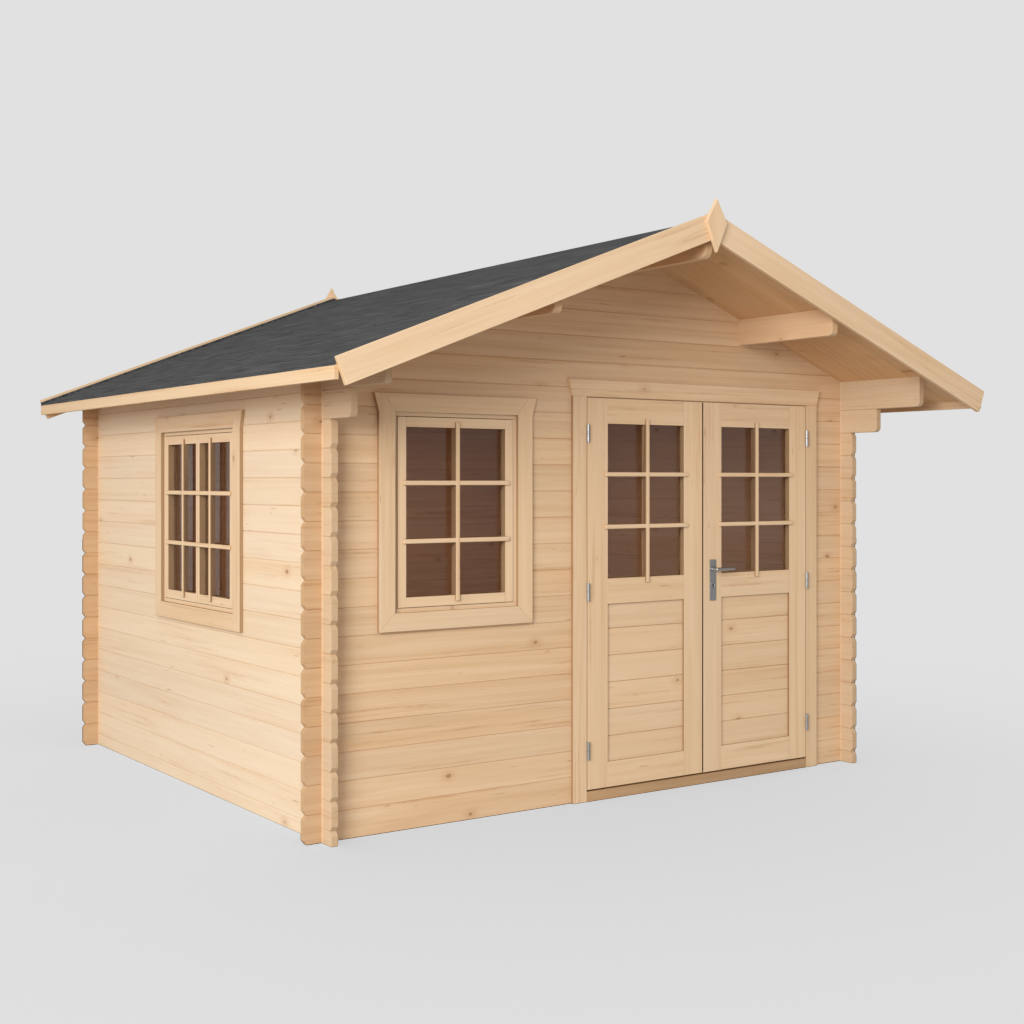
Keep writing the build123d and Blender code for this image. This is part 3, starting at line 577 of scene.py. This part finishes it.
def bars(name, low, high, front, crossings, upright, wall, back_depth, body):
    """Bars over one field of glass. low and high are its corners as (across, height); front is the
    frame's face; wall is 'front' or 'left', where across runs along X or along Y. The backs reach
    back_depth behind the face."""
    made = []
    half = bar_width / 2
    inner = bar_width * 0.45

    def place(a0, a1, z0, z1, proud, back=0.0):
        if wall == "front":
            return (a0, front - proud, z0), (a1, front + back, z1)
        return (front - proud, a0, z0), (front + back, a1, z1)

    for height in crossings:
        made.append(plain_box("bar", *place(low[0] - bar_overlap, high[0] + bar_overlap, height - half,
                                            height + half, bar_proud)))
    for across in upright:
        made.append(plain_box("bar", *place(across - half, across + half, low[1] - upright_overlap,
                                            high[1] + upright_overlap, bar_proud + 0.001)))
    outer_bars = joined(name, made)
    made = []
    for height in crossings:
        made.append(plain_box("bar", *place(low[0], high[0], height - inner, height + inner, -0.0003,
                                            back_depth - 0.001)))
    for across in upright:
        made.append(plain_box("bar", *place(across - inner, across + inner, low[1], high[1], -0.0003,
                                            back_depth)))
    backs = joined(name + "_backs", made)
    for piece, finish, radius in ((outer_bars, joinery, 0.0035), (backs, painted_shade_bar_backs, 0.001)):
        round_over(piece, radius)
        write_grain(piece, "longest")
        paint(piece, finish, body)


groove = 0.009
door_bar_heights = (1.230, 1.467)
for side in ("left", "right"):
    glass_low, glass_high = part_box(f"{side}_leaf_glass")
    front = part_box(f"{side}_leaf_stiles")[0].y
    low = (glass_low.x + groove, glass_low.z + groove)
    high = (glass_high.x - groove, glass_high.z - groove)
    bars(f"{side}_door_bars", low, high, front, door_bar_heights, ((low[0] + high[0]) / 2,), "front",
         glass_low.y - front - glass_clearance, f"{side}_door")

# The window panes' own corners, read from a welded copy of the glass
window_bar_gap = 0.241
glass = nodes["window_glass"].data
panes = []
welded = glass.copy()
carrier = bpy.data.objects.new("welded_glass", welded)
scene.collection.objects.link(carrier)
only(carrier)
bpy.ops.object.mode_set(mode="EDIT")
bpy.ops.mesh.select_all(action="SELECT")
bpy.ops.mesh.remove_doubles(threshold=0.00002)
bpy.ops.object.mode_set(mode="OBJECT")
for members in islands(welded):
    panes.append(extent(welded, members))
bpy.data.objects.remove(carrier)
front_panes = [p for p in panes if p[1][1] - p[0][1] < 0.01]
side_panes = [p for p in panes if p[1][0] - p[0][0] < 0.01]
front_pane = front_panes[0]
glass_set = 0.030
front_face = front_pane[0][1] - glass_set
side_face = side_panes[0][0][0] - glass_set
low = (front_pane[0][0] + groove, front_pane[0][2] + groove)
high = (front_pane[1][0] - groove, front_pane[1][2] - groove)
middle = (low[1] + high[1]) / 2
heights = (middle - window_bar_gap / 2, middle + window_bar_gap / 2)
bars("front_window_bars", low, high, front_face, heights, ((low[0] + high[0]) / 2,), "front",
     glass_set - glass_clearance, "root")
low = (min(p[0][1] for p in side_panes) + groove, side_panes[0][0][2] + groove)
high = (max(p[1][1] for p in side_panes) - groove, side_panes[0][1][2] - groove)
middle = (low[1] + high[1]) / 2
centre = (low[0] + high[0]) / 2
side_bar_place = 0.160
side_back_depth = 0.016
heights = (middle - window_bar_gap / 2, middle + window_bar_gap / 2)
uprights = (centre - side_bar_place, centre + side_bar_place)
bars("side_window_bars", low, high, side_face, heights, uprights, "left", side_back_depth, "root")

# Glass: clear float panes, toned slightly warm.
pane_finish, start, shader = new_finish("float_glass")
shader.inputs["Base Color"].default_value = (0.86, 0.80, 0.76, 1.0)
shader.inputs["Roughness"].default_value = 0.02
shader.inputs["Transmission Weight"].default_value = 1.0
shader.inputs["IOR"].default_value = 1.45
for name in ("left_leaf_glass", "right_leaf_glass", "window_glass"):
    nodes[name].data.materials.clear()
    nodes[name].data.materials.append(pane_finish)

# Roof felt: mineral felt laid over the boards, charcoal, with fine laps across the slope.
felt, start, shader = new_finish("mineral_felt")
place = start.node("ShaderNodeTexCoord", out=3)
run, rise = place.part(1), place.part(0).size()
grit = start.noise(place, 900.0, 3.0, 0.7)
drift = start.noise(start.vector(run * 0.7, rise * 2.0, 0.0), 1.0, 3.0)
ripple = start.noise(start.vector(run * 3.0, rise * 60.0, 0.0), 1.0, 4.0, 0.7)
dash = start.noise(start.vector(run * 1.8, rise * 50.0, 3.0), 1.0, 4.0, 0.72)
pit = start.noise(start.vector(run * 4.0, rise * 60.0, 9.0), 1.0, 3.0, 0.65)
cool = start.mix(grit.between(0.3, 0.7), (0.038, 0.039, 0.041), (0.068, 0.069, 0.072))
cool = start.mix(dash.between(0.46, 0.62) * 0.8, cool, (0.118, 0.119, 0.122))
cool = start.mix(pit.between(0.52, 0.64) * 0.8, cool, (0.014, 0.014, 0.016))
cool = start.mix(drift.between(0.3, 0.7) * 0.2, cool, (0.075, 0.076, 0.080))
start.tree.links.new(cool.socket, shader.inputs["Base Color"])
shader.inputs["Roughness"].default_value = 0.85
height = grit * 0.2 + ripple * 0.6 + dash * 1.0 - pit.between(0.50, 0.66) * 0.8
bump = start.node("ShaderNodeBump", Strength=0.9, Distance=0.006, Height=height)
start.tree.links.new(bump.socket, shader.inputs["Normal"])
for name in ("roof_felt_left", "roof_felt_right"):
    nodes[name].data.materials.clear()
    nodes[name].data.materials.append(felt)

# Door furniture: satin steel lift-off hinges, long plates and lever handles.
steel, start, shader = new_finish("satin_steel")
place = start.node("ShaderNodeTexCoord", out=3)
lines = start.vector(place.part(0) * 900.0, place.part(1) * 900.0, place.part(2) * 30.0)
brushed = start.noise(lines, 1.0, 3.0)
shade = start.mix(brushed.between(0.3, 0.7), (0.42, 0.43, 0.44), (0.56, 0.57, 0.58))
start.tree.links.new(shade.socket, shader.inputs["Base Color"])
gleam = 0.30 + brushed * 0.16
start.tree.links.new(gleam.socket, shader.inputs["Roughness"])
shader.inputs["Metallic"].default_value = 1.0
for name, node, body in (
    ("hinge_pins_turned", "hinge_pins", "root"),
    ("left_hinge_sockets_turned", "left_hinge_sockets", "left_door"),
    ("right_hinge_sockets_turned", "right_hinge_sockets", "right_door"),
    ("lock_plates_pressed", "lock_plates", "right_door"),
):
    paint(eased(name, node, 0.0006, None), steel, body)


def sweep(name, path, round_bar):
    """A round bar bent along a path of places; round_bar is its radius at each of them."""
    bpy.ops.object.select_all(action="DESELECT")
    bpy.ops.curve.primitive_nurbs_path_add(location=(0, 0, 0))
    bar = bpy.context.object
    spline = bar.data.splines[0]
    for point, place, size in zip(spline.points, path, round_bar):
        point.co = (*place, 1.0)
        point.radius = size
    spline.order_u = 3
    spline.use_endpoint_u = True
    spline.resolution_u = 10
    bar.data.bevel_depth = 1.0
    bar.data.bevel_resolution = 5
    bar.data.use_fill_caps = True
    bpy.ops.object.convert(target="MESH")
    bar = bpy.context.object
    bar.name = name
    only(bar)
    bpy.ops.object.shade_smooth_by_angle(angle=math.radians(40))
    return bar


# Levers: round bar, bent out from the plate and along the door, one each side of the leaf.
# A collar closes the spindle's hole in the plate.
lever_low, lever_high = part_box("lever_handles")
plates_low, plates_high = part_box("lock_plates")
spindle_x = lever_low.x + 0.0095
spindle_z = 1.016
grip_radius = 0.0082
made = []
for face, out_face in ((plates_low.y, lever_low.y), (plates_high.y, lever_high.y)):
    way = math.copysign(1.0, out_face - face)
    middle = out_face - way * grip_radius
    end = lever_high.x - 0.001
    path = ((spindle_x, face - way * 0.001, spindle_z), (spindle_x, middle - way * 0.006, spindle_z),
            (spindle_x + 0.001, middle, spindle_z), (spindle_x + 0.030, middle, spindle_z + 0.001),
            (end, middle - way * 0.003, spindle_z + 0.0005))
    made.append(sweep("lever", path, (0.0092, 0.0090, 0.0090, 0.0084, 0.0068)))
    bpy.ops.mesh.primitive_cylinder_add(vertices=40, radius=0.0125, depth=0.006,
                                        location=(spindle_x, face + way * 0.0028, spindle_z),
                                        rotation=(math.radians(90), 0, 0))
    collar = bpy.context.object
    only(collar)
    bpy.ops.object.transform_apply(location=True, rotation=True, scale=True)
    round_over(collar, 0.0012)
    made.append(collar)
levers = joined("levers_bent", made)
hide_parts("lever_handles")
paint(levers, steel, "lever")

# Keyholes: a black slot on the face of each plate, painted shade for the hole, within a pressed ring;
# domed screws hold the plate.
keyhole_shade, start, shader = new_finish("keyhole_painted_shade")
shader.inputs["Base Color"].default_value = (0.012, 0.012, 0.012, 1.0)
shader.inputs["Roughness"].default_value = 0.6
keyhole_z = 0.943
slot_proud = 0.0004
plate_x = (plates_low.x + plates_high.x) / 2
rings, slots = [], []
for face, way in ((plates_low.y, -1.0), (plates_high.y, 1.0)):
    bpy.ops.mesh.primitive_torus_add(major_radius=0.0088, minor_radius=0.0013, major_segments=40,
                                     minor_segments=10, location=(plate_x, face, keyhole_z),
                                     rotation=(math.radians(90), 0, 0))
    ring = bpy.context.object
    ring.scale = (1.0, 1.75, 1.0)
    only(ring)
    bpy.ops.object.transform_apply(location=True, rotation=True, scale=True)
    bpy.ops.object.shade_smooth()
    rings.append(ring)
    for height in (plates_low.z + 0.010, plates_high.z - 0.010):
        bpy.ops.mesh.primitive_uv_sphere_add(segments=24, ring_count=12, radius=0.0042,
                                             location=(plate_x, face, height))
        screw = bpy.context.object
        screw.scale = (1.0, 0.4, 1.0)
        only(screw)
        bpy.ops.object.transform_apply(location=True, rotation=True, scale=True)
        bpy.ops.object.shade_smooth()
        rings.append(screw)
    for drop, half, tall in ((0.0, 0.0042, 0.0042), (0.0075, 0.0021, 0.0080)):
        front, behind = face + min(way, 0.0) * slot_proud, face + max(way, 0.0) * slot_proud
        slots.append(plain_box("slot", (plate_x - half, front, keyhole_z - drop - tall),
                               (plate_x + half, behind, keyhole_z - drop + tall)))
paint(joined("plate_screws_and_rings", rings), steel, "right_door")
paint(joined("keyholes", slots), keyhole_shade, "right_door")

# Meeting seal: a brown brush strip in the left leaf's meeting edge, whose dark colour also darkens the
# gap, and a dark strip on the right leaf's edge that is painted shade in the gap, both a little behind the
# doors' faces.
seal_and_gap_shade, start, shader = new_finish("brush_seal_and_gap_shade")
shader.inputs["Base Color"].default_value = (0.065, 0.036, 0.020, 1.0)
shader.inputs["Roughness"].default_value = 0.9
left_low, left_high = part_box("left_leaf_stiles")
right_low, right_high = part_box("right_leaf_stiles")
near, far = 0.0017, 0.014
end = 0.004
sunk = 0.0005
strip = plain_box("meeting_seal", (left_high.x - sunk, left_low.y + near, left_low.z + end),
                  (left_high.x + 0.0030, left_low.y + far, left_high.z - end))
paint(strip, seal_and_gap_shade, "left_door")
strip = plain_box("meeting_gap_shade", (right_low.x - 0.0012, right_low.y + near, right_low.z + end),
                  (right_low.x + sunk, right_low.y + far, right_high.z - end))
paint(strip, seal_and_gap_shade, "right_door")

# Draught strips: thin brown strips on the jambs and the door head, in the gap beside the leaves; their
# brown also stands in for the shade in the gap, as painted shade.
gap_shade_finish, start, shader = new_finish("draught_strips_and_gap_shade")
shader.inputs["Base Color"].default_value = (0.50, 0.30, 0.16, 1.0)
shader.inputs["Roughness"].default_value = 0.8
door_gap = 0.005
side_strip = 0.0018
head_strip = 0.003
near, far = left_low.y + 0.001, left_low.y + 0.018
x0, x1 = left_low.x - door_gap, right_high.x + door_gap
top = left_high.z + door_gap
strips = [
    plain_box("draught", (x0, near, left_low.z), (x0 + side_strip, far, top)),
    plain_box("draught", (x1 - side_strip, near, left_low.z), (x1, far, top)),
    plain_box("draught", (x0, near, top - head_strip), (x1, far, top)),
]
paint(joined("draught_strips_and_gap_shade", strips), gap_shade_finish, "root")

# Verge felt: the felt is turned up the inner face of each bargeboard, under its top edge.
felt_low, felt_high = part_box("roof_felt_left")
turned = 0.013
felt_thickness = 0.003
half_span = -felt_low.x
slope_length = half_span / math.cos(pitch)
verge_inset = 0.0018
height = felt_high.z - half_span / 2 * math.tan(pitch) + turned / 2 / math.cos(pitch) - 0.001
strips = []
for side in (-1, 1):
    for y in (felt_low.y + verge_inset, felt_high.y - verge_inset):
        strip = plain_box("verge", (-slope_length / 2, y - felt_thickness / 2, -turned / 2),
                          (slope_length / 2, y + felt_thickness / 2, turned / 2))
        strip.rotation_euler = (0.0, side * pitch, 0.0)
        strip.location = (side * half_span / 2, 0.0, height)
        only(strip)
        bpy.ops.object.transform_apply(location=True, rotation=True, scale=True)
        strips.append(strip)
verges = joined("verge_felt", strips)
paint(verges, felt, "root")

# Studio: a plain ground that only takes the cabin's shadow, one broad lamp at the left, a small glow
# in the room and a soft, slightly warm sky. The backdrop is one even pale grey.
ground_radius = 30.0
ground_drop = 0.0005
bpy.ops.object.select_all(action="DESELECT")
bpy.ops.mesh.primitive_circle_add(vertices=96, radius=ground_radius, fill_type="NGON",
                                  location=(0, 0, -ground_drop))
ground = bpy.context.object
ground.name = "studio_floor"
ground.is_shadow_catcher = True
pale_floor, start, shader = new_finish("studio_floor")
shader.inputs["Base Color"].default_value = (0.24, 0.24, 0.24, 1.0)
shader.inputs["Roughness"].default_value = 0.9
shader.inputs["Specular IOR Level"].default_value = 0.1
ground.data.materials.append(pale_floor)

world = bpy.data.worlds.new("studio")
scene.world = world
world.use_nodes = True
sky = Finish(world.node_tree, None)
rays = sky.node("ShaderNodeLightPath", out=0)
glossy = sky.node("ShaderNodeLightPath", out=3)
through = sky.node("ShaderNodeLightPath", out=6)
backdrop = 0.752
mirrored = 0.33
light = 0.70
warm_sky = (1.0, 0.972, 0.935)
seen = rays.maths("MAXIMUM", rays, through)
strength = seen * backdrop + (1.0 - seen) * (glossy * mirrored + (1.0 - glossy) * light)
back = world.node_tree.nodes["Background"]
world.node_tree.links.new(strength.socket, back.inputs["Strength"])
tint = sky.mix(seen, warm_sky, (1.0, 1.0, 1.0))
world.node_tree.links.new(tint.socket, back.inputs["Color"])


def soft_lamp(name, place, target, size, energy, colour):
    """A round area lamp that looks from its place to a target; neither the camera nor rays through glass
    see it itself.
    """
    lamp = bpy.data.lights.new(name, "AREA")
    lamp.shape = "DISK"
    lamp.size = size
    lamp.energy = energy
    lamp.color = colour
    holder = bpy.data.objects.new(name, lamp)
    holder.location = place
    way = [b - a for a, b in zip(place, target)]
    level = math.hypot(way[0], way[1])
    holder.rotation_euler = (math.atan2(level, -way[2]), 0.0, math.atan2(way[1], way[0]) - math.pi / 2)
    holder.visible_camera = False
    holder.visible_transmission = False
    scene.collection.objects.link(holder)
    return holder


# The key lamp spares the ground; a lamp without shadows lights the ground alone and keeps its shadow pale
spared = bpy.data.collections.new("not_lit_by_lamps")
spared.objects.link(ground)
spared.collection_objects[0].light_linking.link_state = "EXCLUDE"
lamp = soft_lamp("key_light", (-10.0, -7.5, 4.1), (0.0, 0.0, 1.2), 6.0, 1150.0, (0.96, 0.985, 1.0))
lamp.light_linking.receiver_collection = spared
fill = bpy.data.objects.new("ground_fill", bpy.data.lights.new("ground_fill", "SUN"))
fill.data.energy = 3.3
fill.data.use_shadow = False
scene.collection.objects.link(fill)
ground_alone = bpy.data.collections.new("ground_alone")
ground_alone.objects.link(ground)
fill.light_linking.receiver_collection = ground_alone
soft_lamp("room_glow", (0.0, 0.25, 1.75), (0.0, 0.25, 0.0), 1.6, 4.5, (1.0, 0.74, 0.56))
